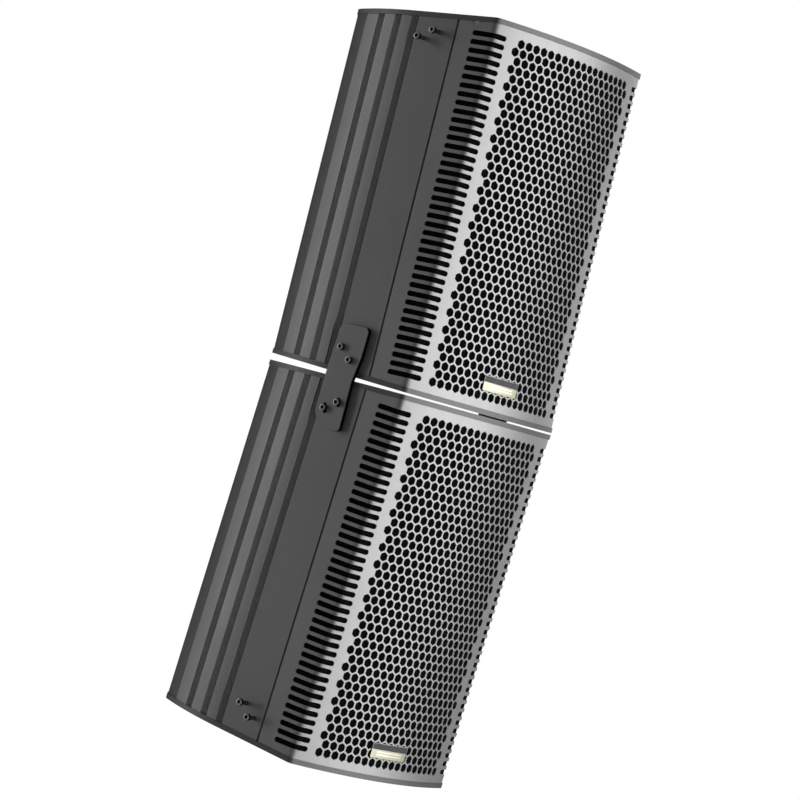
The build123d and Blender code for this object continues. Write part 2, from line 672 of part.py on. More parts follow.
def make_link_plate(s):
    """Flat plate on one side; bosses round its upper holes bear on the upper module."""
    x_out = HALF_W + PLATE_T
    face = rounded(PLATE_OUTLINE, PLATE_RADII)
    plate = prism_x(face, *sorted((s * (HALF_W + PLATE_RELIEF), s * x_out)))
    cuts = []
    for y, z in UPPER_LOW_BOLTS:
        y, z = splay_frame_point(y, z, False)
        plate += cyl_x(*sorted((s * (HALF_W + 0.02), s * (HALF_W + PLATE_RELIEF + 1))), y, z, 8.0)
    for y, z in UPPER_LOW_BOLTS:
        y, z = splay_frame_point(y, z, False)
        cuts.append(cyl_x(*sorted((s * (HALF_W - 2), s * (x_out + 2))), y, z, BOLT_R + 0.2))
    for y, z in LOWER_TOP_BOLTS:
        y, z = splay_frame_point(y, z, True)
        half_w = BOLT_R + 0.35
        band, e0, e1 = arc_slot(y, z, half_w, math.radians(SWING_DEG + 0.15))
        x0, x1 = sorted((s * (HALF_W - 2), s * (x_out + 2)))
        cuts.append(prism_x(band, x0, x1))
        for e in (e0, e1):
            cuts.append(cyl_x(x0, x1, e[0], e[1], half_w))
    plate = plate - cuts
    edges = [e for e in plate.edges() if abs(e.center().X - s * x_out) < 0.01 and e.length > 14.5]
    try:
        plate = fillet(edges, 0.8)
    except Exception:
        pass
    return plate


# ------------------------------------------------------------ assembly
def place(shape, lower):
    """Module frame to row frame."""
    if lower:
        loc = Location((0, -ORIGIN_Y, -ORIGIN_Z)) * Location((0, 0, 0), (SPLAY_DEG, 0, 0)) * \
            Location((0, 0, -MODULE_H - FRONT_GAP / 2))
    else:
        loc = Location((0, -ORIGIN_Y, -ORIGIN_Z + FRONT_GAP / 2))
    return loc * shape


def solids_of(x):
    if isinstance(x, (list, tuple)):
        out = []
        for i in x:
            out += solids_of(i)
        return out
    return list(x.solids())


def write(name, shape):
    s = solids_of(shape)
    c = s[0] if len(s) == 1 else Compound(s)
    export_step(c, "parts/%s.step" % name, write_pcurves=False)
    print(name, len(s), round(sum(i.volume for i in s) / 1000, 2), "cm3")


def main():
    os.makedirs("parts", exist_ok=True)
    for f in os.listdir("parts"):
        if f.endswith(".step"):
            os.remove("parts/" + f)
    shared = {
        "grille": make_grille(),
        "grille_foam": make_foam(),
        "top_cap": make_cap(True),
        "bottom_cap": make_cap(False),
        "cap_screws": make_cap_screws(),
        "badge": make_badge(),
        "baffle": make_baffle(all_screws()),
        "woofer_basket_a": make_basket(WOOFER_Z[0]),
        "woofer_basket_b": make_basket(WOOFER_Z[1]),
        "woofer_magnet_a": make_magnet(WOOFER_Z[0]),
        "woofer_magnet_b": make_magnet(WOOFER_Z[1]),
        "woofer_surround_a": make_surround(WOOFER_Z[0]),
        "woofer_surround_b": make_surround(WOOFER_Z[1]),
        "woofer_cone_a": make_cone(WOOFER_Z[0]),
        "woofer_cone_b": make_cone(WOOFER_Z[1]),
        "woofer_spiders": make_spiders(),
        "driver_screws": make_driver_screws(),
        "horn": make_horn(),
        "compression_driver": make_driver(),
        "crossover_board": make_board(),
        "crossover_parts": make_board_parts(),
        "input_plate": make_input_plate(),
        "input_sockets": make_sockets(),
        "input_plate_screws": make_input_screws(),
        "damping_lining": make_lining(),
    }
    for name, lower, bolts, free in (
            ("upper", False, UPPER_LOW_BOLTS + UPPER_TOP_BOLTS, UPPER_TOP_BOLTS),
            ("lower", True, LOWER_LOW_BOLTS + LOWER_TOP_BOLTS, LOWER_LOW_BOLTS)):
        parts = dict(shared)
        parts["rear_shell"] = make_rear_shell(bolts)
        parts["rigging_blocks"] = make_rigging_blocks(bolts)
        parts["end_bolts"] = side_bolts(free, BOLT_PROUD - BOLT_HEAD_H)
        for k, v in parts.items():
            write(name + "_" + k, [place(i, lower) for i in solids_of(v)])
    off = Location((0, -ORIGIN_Y, -ORIGIN_Z))
    write("link_plate_left", off * make_link_plate(-1))
    write("link_plate_right", off * make_link_plate(1))
    write("link_bolts_upper", [place(i, False) for i in side_bolts(UPPER_LOW_BOLTS, PLATE_T + 0.02)])
    write("link_bolts_lower", [place(i, True) for i in side_bolts(LOWER_TOP_BOLTS, PLATE_T + 0.35)])


main()
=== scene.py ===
import json
import math

import bmesh
import bpy
import numpy as np
from mathutils import Matrix, Vector
from mathutils.geometry import delaunay_2d_cdt


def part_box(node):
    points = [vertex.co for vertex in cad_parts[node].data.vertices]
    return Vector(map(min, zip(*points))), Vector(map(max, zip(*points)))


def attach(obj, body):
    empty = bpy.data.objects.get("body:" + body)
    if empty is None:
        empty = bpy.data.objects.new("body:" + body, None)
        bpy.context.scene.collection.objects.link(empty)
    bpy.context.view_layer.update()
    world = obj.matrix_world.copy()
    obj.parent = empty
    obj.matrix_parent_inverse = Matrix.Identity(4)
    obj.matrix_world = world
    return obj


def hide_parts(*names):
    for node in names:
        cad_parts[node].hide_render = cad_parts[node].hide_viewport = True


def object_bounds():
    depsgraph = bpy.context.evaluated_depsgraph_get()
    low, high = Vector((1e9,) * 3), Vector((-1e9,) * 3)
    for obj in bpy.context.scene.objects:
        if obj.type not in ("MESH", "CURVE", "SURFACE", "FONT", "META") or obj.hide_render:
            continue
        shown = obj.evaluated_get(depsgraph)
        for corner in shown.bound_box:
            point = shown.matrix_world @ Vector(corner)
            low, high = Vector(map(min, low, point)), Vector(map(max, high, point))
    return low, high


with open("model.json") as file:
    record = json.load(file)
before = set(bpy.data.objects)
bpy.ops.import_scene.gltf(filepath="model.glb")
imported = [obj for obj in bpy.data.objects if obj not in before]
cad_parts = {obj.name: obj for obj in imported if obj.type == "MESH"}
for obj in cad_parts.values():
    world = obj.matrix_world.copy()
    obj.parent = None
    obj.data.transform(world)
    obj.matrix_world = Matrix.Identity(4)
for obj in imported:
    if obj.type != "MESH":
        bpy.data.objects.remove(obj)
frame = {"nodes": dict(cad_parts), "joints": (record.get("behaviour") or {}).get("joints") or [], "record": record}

CAD_LO, CAD_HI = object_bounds()

# ------------------------------------------------------------------ module frames (metres)
SPLAY = next(j for j in frame["joints"] if j["name"] == "splay")
PIVOT = Vector(SPLAY["pos_m"])
MODULE_H = 0.4481
GAP = 0.0026
HALF_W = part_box("upper_grille")[1].x
SAG = PIVOT.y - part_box("upper_grille")[0].y
SPLAY_A = math.radians(4.12)
TAN_W = math.tan(math.radians(2.77))
COS_W = math.cos(math.radians(2.77))
M_UP = Matrix.Translation(PIVOT + Vector((0, 0, GAP / 2)))
M_LO = (Matrix.Translation(PIVOT) @ Matrix.Rotation(SPLAY_A, 4, "X")
        @ Matrix.Translation((0, 0, -MODULE_H - GAP / 2)))
MODULES = (("upper", M_UP, "upper_module"), ("lower", M_LO, "lower_module"))

ARC_R = (HALF_W ** 2 + SAG ** 2) / (2 * SAG)
ARC_Y = ARC_R - SAG
CAP_T = 0.006
GRILLE_T = 0.0015
RET_Y = 0.056
PITCH = 0.0122
ROW = 0.01043
AF = 0.0098
HEX_R = 0.0018
ROWS = 40
ROW0 = 0.020
SLOT_H = 0.0061
SLOT_SIDE = 0.033
SLOT_FRONT = 0.0185


# ------------------------------------------------------------------ materials
class Mat:
    """Small helper for node materials."""

    def __init__(self, name):
        self.m = bpy.data.materials.new(name)
        self.m.use_nodes = True
        self.nt = self.m.node_tree
        self.nt.nodes.clear()
        self.out = self.n("ShaderNodeOutputMaterial")
        self.b = self.n("ShaderNodeBsdfPrincipled")
        self.link(self.b, "BSDF", self.out, "Surface")
        tc = self.n("ShaderNodeTexCoord")
        self.obj = (tc, "Object")

    def n(self, kind, **kw):
        node = self.nt.nodes.new(kind)
        for k, v in kw.items():
            setattr(node, k, v)
        return node

    def link(self, a, ao, b, bi):
        self.nt.links.new(a.outputs[ao], b.inputs[bi])

    def set(self, **kw):
        for k, v in kw.items():
            self.b.inputs[k.replace("_", " ")].default_value = v
        return self

    def mapped(self, scale=(1, 1, 1), rot=(0, 0, 0)):
        mp = self.n("ShaderNodeMapping")
        mp.inputs["Scale"].default_value = scale
        mp.inputs["Rotation"].default_value = rot
        self.link(self.obj[0], self.obj[1], mp, "Vector")
        return (mp, "Vector")

    def noise(self, scale, detail=3.0, rough=0.55, vec=None, out="Fac"):
        t = self.n("ShaderNodeTexNoise")
        t.inputs["Scale"].default_value = scale
        t.inputs["Detail"].default_value = detail
        t.inputs["Roughness"].default_value = rough
        v = vec or self.obj
        self.link(v[0], v[1], t, "Vector")
        return (t, out)

    def voronoi(self, scale, feature="F1", out="Distance", vec=None):
        t = self.n("ShaderNodeTexVoronoi", feature=feature)
        t.inputs["Scale"].default_value = scale
        v = vec or self.obj
        self.link(v[0], v[1], t, "Vector")
        return (t, out)

    def ramp(self, src, stops, interp="LINEAR"):
        r = self.n("ShaderNodeValToRGB")
        r.color_ramp.interpolation = interp
        el = r.color_ramp.elements
        while len(el) > 1:
            el.remove(el[-1])
        el[0].position, c = stops[0][0], stops[0][1]
        el[0].color = c if len(c) == 4 else (*c, 1)
        for p, c in stops[1:]:
            e = el.new(p)
            e.color = c if len(c) == 4 else (*c, 1)
        self.link(src[0], src[1], r, "Fac")
        return (r, "Color")

    def rng(self, src, a, b, c, d):
        r = self.n("ShaderNodeMapRange")
        for i, v in zip((1, 2, 3, 4), (a, b, c, d)):
            r.inputs[i].default_value = v
        self.link(src[0], src[1], r, "Value")
        return (r, "Result")

    def math(self, op, a, b):
        m = self.n("ShaderNodeMath", operation=op)
        for i, s in enumerate((a, b)):
            if isinstance(s, tuple):
                self.nt.links.new(s[0].outputs[s[1]], m.inputs[i])
            else:
                m.inputs[i].default_value = s
        return (m, "Value")

    def mix(self, fac, a, b, kind="MIX"):
        m = self.n("ShaderNodeMix", data_type="RGBA", blend_type=kind)
        if isinstance(fac, tuple):
            self.nt.links.new(fac[0].outputs[fac[1]], m.inputs[0])
        else:
            m.inputs[0].default_value = fac
        for idx, s in ((6, a), (7, b)):
            if isinstance(s, tuple) and hasattr(s[0], "outputs"):
                self.nt.links.new(s[0].outputs[s[1]], m.inputs[idx])
            else:
                m.inputs[idx].default_value = s if len(s) == 4 else (*s, 1)
        return (m, 2)

    def to(self, src, socket):
        self.nt.links.new(src[0].outputs[src[1]], self.b.inputs[socket])
        return self

    def bump(self, src, strength, dist, prev=None):
        b = self.n("ShaderNodeBump")
        b.inputs["Strength"].default_value = strength
        b.inputs["Distance"].default_value = dist
        self.nt.links.new(src[0].outputs[src[1]], b.inputs["Height"])
        if prev:
            self.nt.links.new(prev.outputs["Normal"], b.inputs["Normal"])
        return b

    def normal(self, b):
        self.nt.links.new(b.outputs["Normal"], self.b.inputs["Normal"])
        return self


def powder_coat(name, color, rough=0.46, grain=2600.0, depth=0.00003, var=0.06, metal=0.0, spec=0.5,
                painted_shade_edges=False):
    """Powder-coated metal: fine orange peel, faint handling marks and dust.

    painted_shade_edges leaves only the two broad faces (those that face along X) in colour; the other faces are
    painted near-black as painted shade for the unlit, shadowed cut edges."""
    m = Mat(name)
    big = m.noise(9.0, 4.0, 0.6)
    fine = m.noise(grain, 2.0, 0.5)
    peel = m.noise(420.0, 2.0, 0.5)
    marks = m.noise(60.0, 6.0, 0.7, vec=m.mapped((1.0, 1.0, 0.18)))
    lo = tuple(c * (1 - var) for c in color)
    hi = tuple(min(1, c * (1 + var)) for c in color)
    col = m.ramp(big, [(0.3, lo), (0.7, hi)])
    speck = m.ramp(fine, [(0.62, (0, 0, 0)), (0.74, (1, 1, 1))])
    lift = tuple(min(1, c * 1.35 + 0.01) for c in color)
    col = m.mix(m.math("MULTIPLY", speck, 0.30), col, lift)
    # painted shade: faces whose normal is not along X (the cut edges) get near-black colour, standing in for their
    # shadowed, unlit look
    if painted_shade_edges:
        tc = m.n("ShaderNodeTexCoord")
        sep = m.n("ShaderNodeSeparateXYZ")
        m.link(tc, "Normal", sep, "Vector")
        side = m.math("ABSOLUTE", (sep, "X"), 0.0)
        col = m.mix(m.ramp(side, [(0.50, (0, 0, 0)), (0.62, (1, 1, 1))]), (0.004, 0.004, 0.004), col)
        m.to(m.rng(side, 0.50, 0.62, 1.0, metal), "Metallic")
    m.to(col, "Base Color")
    r = m.rng(marks, 0.3, 0.75, rough - 0.015, rough + 0.035)
    m.to(r, "Roughness")
    if not painted_shade_edges:
        m.set(Metallic=metal)
    m.set(Specular_IOR_Level=spec)
    b1 = m.bump(peel, 0.25, depth * 2)
    b2 = m.bump(fine, 0.5, depth, b1)
    m.normal(b2)
    return m.m


def simple(name, color, rough, scale=300.0, var=0.15, metal=0.0, bump=0.2, dist=0.0001, **kw):
    m = Mat(name)
    n = m.noise(scale, 4.0, 0.6)
    lo = tuple(c * (1 - var) for c in color)
    hi = tuple(min(1, c * (1 + var)) for c in color)
    m.to(m.ramp(n, [(0.3, lo), (0.7, hi)]), "Base Color")
    m.to(m.rng(m.noise(scale * 0.2, 3.0), 0.3, 0.7, max(0.02, rough - 0.06), min(1, rough + 0.08)), "Roughness")
    m.set(Metallic=metal, **kw)
    m.normal(m.bump(n, bump, dist))
    return m.m


def foam_material():
    m = Mat("foam_black")
    cells = m.voronoi(900.0)
    big = m.noise(60.0, 3.0)
    m.to(m.ramp(cells, [(0.0, (0.0005, 0.0005, 0.0005)), (0.8, (0.004, 0.004, 0.004))]), "Base Color")
    m.to(m.rng(big, 0.3, 0.7, 0.9, 1.0), "Roughness")
    m.set(Specular_IOR_Level=0.02)
    m.normal(m.bump(cells, 0.8, 0.0006))
    return m.m


def badge_material():
    m = Mat("badge_brushed")
    br = m.noise(1.0, 4.0, 0.7, vec=m.mapped((60, 60, 9000)))
    soft = m.noise(70.0, 3.0)
    m.to(m.mix(m.rng(soft, 0.3, 0.7, 0.0, 0.5), (0.225, 0.220, 0.160), (0.175, 0.172, 0.130)), "Base Color")
    m.to(m.rng(br, 0.3, 0.7, 0.28, 0.42), "Roughness")
    m.set(Metallic=0.9)
    m.normal(m.bump(br, 0.15, 0.00003))
    return m.m


def wood_material():
    m = Mat("baffle_black_ply")
    grain = m.noise(1.0, 5.0, 0.65, vec=m.mapped((18, 900, 900)))
    m.to(m.ramp(grain, [(0.35, (0.010, 0.009, 0.008)), (0.65, (0.035, 0.030, 0.026))]), "Base Color")
    m.to(m.rng(grain, 0.3, 0.7, 0.55, 0.75), "Roughness")
    m.normal(m.bump(grain, 0.3, 0.0002))
    return m.m


def weave_material(name, color, pitch):
    m = Mat(name)
    w = m.n("ShaderNodeTexWave", wave_type="BANDS", bands_direction="X")
    w.inputs["Scale"].default_value = pitch
    m.link(m.obj[0], m.obj[1], w, "Vector")
    w2 = m.n("ShaderNodeTexWave", wave_type="BANDS", bands_direction="Z")
    w2.inputs["Scale"].default_value = pitch
    m.link(m.obj[0], m.obj[1], w2, "Vector")
    h = m.math("MAXIMUM", (w, "Fac"), (w2, "Fac"))
    m.to(m.ramp(h, [(0.2, tuple(c * 0.5 for c in color)), (0.9, color)]), "Base Color")
    m.to(m.rng(m.noise(200.0), 0.3, 0.7, 0.75, 0.95), "Roughness")
    m.normal(m.bump(h, 0.5, 0.0002))
    return m.m


PAINT = (0.141, 0.142, 0.145)
MATS = {
    "cabinet_paint": powder_coat("cabinet_paint", PAINT, rough=0.44, metal=0.55),
    "cap_paint": powder_coat("cap_paint", (0.055, 0.055, 0.057), rough=0.42, metal=0.4),
    "grille_paint": powder_coat("grille_paint", (0.178, 0.179, 0.182), rough=0.38, depth=0.00002, metal=0.55),
    # plate edges carry painted shade (near-black), the broad faces keep the paint colour
    "plate_paint": powder_coat("plate_paint", (0.144, 0.145, 0.148), rough=0.42, metal=0.55, painted_shade_edges=True),
    "input_plate": powder_coat("input_plate_paint", (0.030, 0.030, 0.031), rough=0.48, metal=0.2),
    "foam": foam_material(),
    "black_steel": simple("black_oxide_steel", (0.010, 0.010, 0.011), 0.38, 900.0, 0.3, 0.6, 0.15, 0.00005),
    "bolt_rim": simple("bolt_rim_painted_highlight", (0.25, 0.255, 0.265), 0.36, 1500.0, 0.2, 0.7, 0.2, 0.00003),
    # lighter grey on the bolt heads' face rim: a painted highlight for the light the end faces catch
    "zinc_steel": simple("zinc_steel", (0.55, 0.56, 0.58), 0.35, 120.0, 0.08, 0.9, 0.1, 0.00005),
    "badge_metal": badge_material(),
    "badge_blue": simple("badge_blue_enamel", (0.020, 0.021, 0.030), 0.55, 400.0, 0.25, 0.0, 0.1, 0.00003, Specular_IOR_Level=0.25),
    "badge_bright": simple("badge_bright_bar", (0.33, 0.33, 0.29), 0.30, 400.0, 0.1, 0.9, 0.1, 0.00003),
    "baffle_board": wood_material(),
    "driver_frame": simple("driver_enamel", (0.03, 0.03, 0.032), 0.4, 500.0),
    "motor_iron": simple("ferrite", (0.07, 0.07, 0.075), 0.6, 700.0, 0.3, 0.2, 0.4, 0.0002),
    "surround_rubber": simple("surround_rubber", (0.015, 0.015, 0.015), 0.6, 900.0),
    "cone_paper": simple("cone_paper", (0.03, 0.029, 0.028), 0.85, 1400.0, 0.4, 0.0, 0.5, 0.0002),
    "spider_cloth": weave_material("spider_cloth", (0.45, 0.33, 0.14), 700.0),
    "horn_plastic": simple("horn_plastic", (0.02, 0.02, 0.021), 0.5, 1200.0),
    "driver_aluminium": simple("driver_cast_alu", (0.35, 0.35, 0.36), 0.45, 600.0, 0.12, 0.9, 0.3, 0.0001),
    "circuit_board": simple("circuit_board", (0.02, 0.12, 0.05), 0.35, 200.0),
    "component_plastic": simple("component_body", (0.42, 0.18, 0.06), 0.4, 150.0),
    "socket_plastic": simple("socket_nylon", (0.026, 0.034, 0.052), 0.36, 1400.0, 0.2, 0.0, 0.2, 0.00005),
    "wadding": simple("wadding", (0.5, 0.5, 0.48), 0.95, 800.0, 0.3, 0.0, 1.0, 0.001),
}

SLOTS = {s["node"]: s["material_slot"] for s in frame["record"]["subparts"]}
for node, o in frame["nodes"].items():
    slot = SLOTS.get(node, "cabinet_paint")
    mat = MATS.get(slot, MATS["cabinet_paint"])
    if node.endswith("_input_plate"):
        mat = MATS["input_plate"]
    o.data.materials.clear()
    o.data.materials.append(mat)


def finish_piece(o, body, slot, mat, *replaced):
    bpy.context.scene.collection.objects.link(o)
    for x in (mat if isinstance(mat, (list, tuple)) else (mat,)):
        o.data.materials.append(x)
    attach(o, body)
    if replaced:
        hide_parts(*replaced)
    return o


def mesh_object(name, verts, faces, matrix=None, smooth_angle=None, mat_index=None):
    me = bpy.data.meshes.new(name)
    me.from_pydata([tuple(v) for v in verts], [], faces)
    if matrix is not None:
        me.transform(matrix)
    if mat_index is not None:
        me.polygons.foreach_set("material_index", mat_index)
    me.update()
    me.validate()
    if smooth_angle is not None:
        me.polygons.foreach_set("use_smooth", [True] * len(me.polygons))
        me.set_sharp_from_angle(angle=math.radians(smooth_angle))
    return bpy.data.objects.new(name, me)


# ------------------------------------------------------------------ grille
FIL = 0.0065
A1 = math.asin((HALF_W - FIL) / (ARC_R - FIL))
YC = ARC_Y - math.sqrt((ARC_R - FIL) ** 2 - (HALF_W - FIL) ** 2)
U1 = ARC_R * A1
U2 = U1 + FIL * (math.pi / 2 - A1)
UMAX = U2 + (RET_Y - YC)


def profile(u):
    """Outer point and outward normal of the bent sheet at arc length u (numpy)."""
    s = np.sign(u)
    s = np.where(s == 0, 1.0, s)
    a = np.abs(u)
    x = np.where(a < U1, ARC_R * np.sin(a / ARC_R), 0.0)
    y = np.where(a < U1, ARC_Y - ARC_R * np.cos(a / ARC_R), 0.0)
    nx = np.where(a < U1, np.sin(a / ARC_R), 0.0)
    ny = np.where(a < U1, -np.cos(a / ARC_R), 0.0)
    t = A1 + (np.clip(a, U1, U2) - U1) / FIL
    c = (a >= U1) & (a < U2)
    x = np.where(c, (HALF_W - FIL) + FIL * np.sin(t), x)
    y = np.where(c, YC - FIL * np.cos(t), y)
    nx = np.where(c, np.sin(t), nx)
    ny = np.where(c, -np.cos(t), ny)
    d = a >= U2
    x = np.where(d, HALF_W, x)
    y = np.where(d, YC + (a - U2), y)
    nx = np.where(d, 1.0, nx)
    ny = np.where(d, 0.0, ny)
    return s * x, y, s * nx, ny


def rounded_hex(cu, cz, ap, rr, n=3):
    pts = []
    d = (ap - rr) / math.cos(math.radians(30))
    for k in range(6):
        a = math.radians(90 + 60 * k)
        ox, oz = cu + d * math.cos(a), cz + d * math.sin(a)
        for i in range(n + 1):
            b = a + math.radians(-30 + 60 * i / n)
            pts.append((ox + rr * math.cos(b), oz + rr * math.sin(b)))
    return pts


def slot_loop(u0, u1, zc, r, cuts):
    """Stadium along u from u0 to u1, with extra points where the sheet bends."""
    us = [u0 + r, u1 - r] + [c for c in cuts if u0 + r + 1e-4 < c < u1 - r - 1e-4]
    us = sorted(us)
    pts = [(u, zc - r) for u in us]
    for i in range(1, 8):
        b = -math.pi / 2 + math.pi * i / 8
        pts.append((u1 - r + r * math.cos(b), zc + r * math.sin(b)))
    pts += [(u, zc + r) for u in reversed(us)]
    for i in range(1, 8):
        b = math.pi / 2 + math.pi * i / 8
        pts.append((u0 + r + r * math.cos(b), zc + r * math.sin(b)))
    return pts


def build_grille():
    bend = [U1 + (U2 - U1) * i / 8 for i in range(9)]
    cuts = bend + [U1 - 0.004, U1 - 0.009, U1 - 0.014, U2 + 0.005, U2 + 0.012, U2 + 0.02]
    u_corner = ARC_R * math.asin(HALF_W / ARC_R)
    slot_in = u_corner - SLOT_FRONT
    slot_out = U2 + (SLOT_SIDE - YC)
    loops = []        # (front loop, nominal loop)
    ch = 0.00022
    for k in range(ROWS):
        z = ROW0 + k * ROW
        n = 19 if k % 2 == 0 else 18
        for j in range(n):
            u = (j - (n - 1) / 2) * PITCH
            loops.append((rounded_hex(u, z, AF / 2 + ch, HEX_R + ch), rounded_hex(u, z, AF / 2, HEX_R)))
        for s in (-1, 1):
            fr = slot_loop(slot_in - ch, slot_out + ch, z, SLOT_H / 2 + ch, cuts)
            no = slot_loop(slot_in, slot_out, z, SLOT_H / 2, cuts)
            assert len(fr) == len(no)
            if s < 0:
                fr = [(-p[0], p[1]) for p in reversed(fr)]
                no = [(-p[0], p[1]) for p in reversed(no)]
            loops.append((fr, no))

    def zlow(u):
        y = profile(np.array([u]))[1][0]
        return TAN_W * y + (CAP_T + 0.0001) / COS_W

    def zhigh(u):
        return MODULE_H - zlow(u)

    # outer boundary columns
    cols = sorted(set([round(x, 7) for x in
                       [i * 0.0061 for i in range(0, int(U1 / 0.0061))] + cuts +
                       [U2 + (UMAX - U2) * i / 10 for i in range(1, 11)]]))
    cols = [c for c in cols if c <= UMAX + 1e-9]
    cols = sorted(set([-c for c in cols] + cols))
    pts = []
    loop_id = []
    edges = []
    for c in cols:
        pts.append((c, zlow(c)))
        loop_id.append(-2)
    nb = len(cols)
    # right side
    side_z = [zlow(UMAX) + (zhigh(UMAX) - zlow(UMAX)) * i / 84 for i in range(1, 84)]
    for z in side_z:
        pts.append((cols[-1], z))
        loop_id.append(-2)
    for c in reversed(cols):
        pts.append((c, zhigh(c)))
        loop_id.append(-2)
    for z in reversed(side_z):
        pts.append((cols[0], z))
        loop_id.append(-2)
    nbound = len(pts)
    edges += [(i, (i + 1) % nbound) for i in range(nbound)]
    nominal = list(pts)
    for li, (fr, no) in enumerate(loops):
        base = len(pts)
        pts += fr
        nominal += no
        loop_id += [li] * len(fr)
        edges += [(base + i, base + (i + 1) % len(fr)) for i in range(len(fr))]
    nloop = len(pts)
    # points in the plain areas, so that the bend and the bow stay smooth
    first, last = ROW0 - 0.0085, ROW0 + (ROWS - 1) * ROW + 0.0085
    extra = []
    for c in cols[1:-1]:
        for z in (ROW0 - 0.0092, ROW0 - 0.0070, last - 0.0015 + 0.0, last + 0.0008):
            if zlow(c) + 0.002 < z < zhigh(c) - 0.002:
                extra.append((c, z))
    for k in range(ROWS + 1):
        z = ROW0 + (k - 0.5) * ROW
        for s in (-1, 1):
            for c in cuts + [slot_out + 0.004, slot_out + 0.010, slot_out + 0.016]:
                if slot_in - 0.002 < c < UMAX - 0.002:
                    extra.append((s * c, z))
    for k in range(ROWS):
        z = ROW0 + k * ROW
        for s in (-1, 1):
            for c in (slot_in - 0.0035, slot_in - 0.008, slot_out + 0.004, slot_out + 0.010, slot_out + 0.016):
                if abs(c) > 9.6 * PITCH:
                    extra.append((s * c, z))
    # add each extra point once, as a free point
    have = set()
    for p in extra:
        key = (round(p[0], 5), round(p[1], 5))
        if key in have:
            continue
        have.add(key)
        pts.append(p)
        nominal.append(p)
        loop_id.append(-1)
    out = delaunay_2d_cdt([Vector(p) for p in pts], edges, [], 0, 1e-7, True)
    ov, of = out[0], out[2]
    orig = out[3]
    n_out = len(ov)
    co = np.array([(v.x, v.y) for v in ov])
    lid = np.full(n_out, -1)
    nom = co.copy()
    for i in range(n_out):
        if orig[i]:
            src = orig[i][0]
            lid[i] = loop_id[src]
            nom[i] = nominal[src]
    tri = np.array([f for f in of if len(f) == 3])
    tl = lid[tri]
    hole = (tl[:, 0] >= 0) & (tl[:, 0] == tl[:, 1]) & (tl[:, 1] == tl[:, 2])
    cen = co[tri].mean(1)
    yy = profile(cen[:, 0])[1]
    low = TAN_W * yy + (CAP_T + 0.0001) / COS_W
    outside = (cen[:, 1] < low - 2e-6) | (cen[:, 1] > MODULE_H - low + 2e-6)
    keep = ~(hole | outside)
    tri = tri[keep]
    # orientation: u right, z up seen from the front, normal forward
    a, b, c = co[tri[:, 0]], co[tri[:, 1]], co[tri[:, 2]]
    area = (b[:, 0] - a[:, 0]) * (c[:, 1] - a[:, 1]) - (b[:, 1] - a[:, 1]) * (c[:, 0] - a[:, 0])
    tri = tri[np.abs(area) > 1e-12]
    area = area[np.abs(area) > 1e-12]
    tri[area < 0] = tri[area < 0][:, ::-1]

    def lift(p, depth):
        x, y, nx, ny = profile(p[:, 0])
        return np.stack([x - nx * depth, y - ny * depth, p[:, 1]], 1)

    front = lift(co, 0.0)
    mid = lift(nom, ch)
    back = lift(nom, GRILLE_T)
    verts = np.concatenate([front, mid, back])
    faces = [tuple(t) for t in tri] + [tuple(t[::-1] + 2 * n_out) for t in tri]
    # walls, from the boundary edges of the kept triangles
    e = np.concatenate([tri[:, [0, 1]], tri[:, [1, 2]], tri[:, [2, 0]]])
    dirs = set(map(tuple, e))
    for p, q in dirs:
        if (q, p) not in dirs:
            if lid[p] >= 0 and lid[q] >= 0:
                faces.append((q, p, p + n_out, q + n_out))
                faces.append((q + n_out, p + n_out, p + 2 * n_out, q + 2 * n_out))
            else:
                faces.append((q, p, p + 2 * n_out, q + 2 * n_out))
    return verts, faces


g_verts, g_faces = build_grille()
used = np.zeros(len(g_verts), bool)
for f in g_faces:
    for i in f:
        used[i] = True
remap = np.cumsum(used) - 1
g_verts = g_verts[used]
g_faces = [tuple(int(remap[i]) for i in f) for f in g_faces]
for mod, mx, body in MODULES:
    o = mesh_object(mod + "_grille_sheet", g_verts, g_faces, mx, 32)
    finish_piece(o, body, "grille_paint", MATS["grille_paint"], mod + "_grille")


# ------------------------------------------------------------------ socket-head bolts
BOLTS = {
    "upper_end_bolts": ("upper", M_UP, "upper_module", [(0.0824, 0.4208), (0.1032, 0.4111)], 0.010),
    "link_bolts_upper": ("link_upper", M_UP, "upper_module", [(0.0872, 0.0220), (0.1041, 0.0353)], 0.00652),
    "link_bolts_lower": ("link_lower", M_LO, "lower_module", [(0.0866, 0.4151), (0.1044, 0.4041)], 0.00685),
    "lower_end_bolts": ("lower", M_LO, "lower_module", [(0.0722, 0.0324), (0.0899, 0.0457)], 0.010),
}


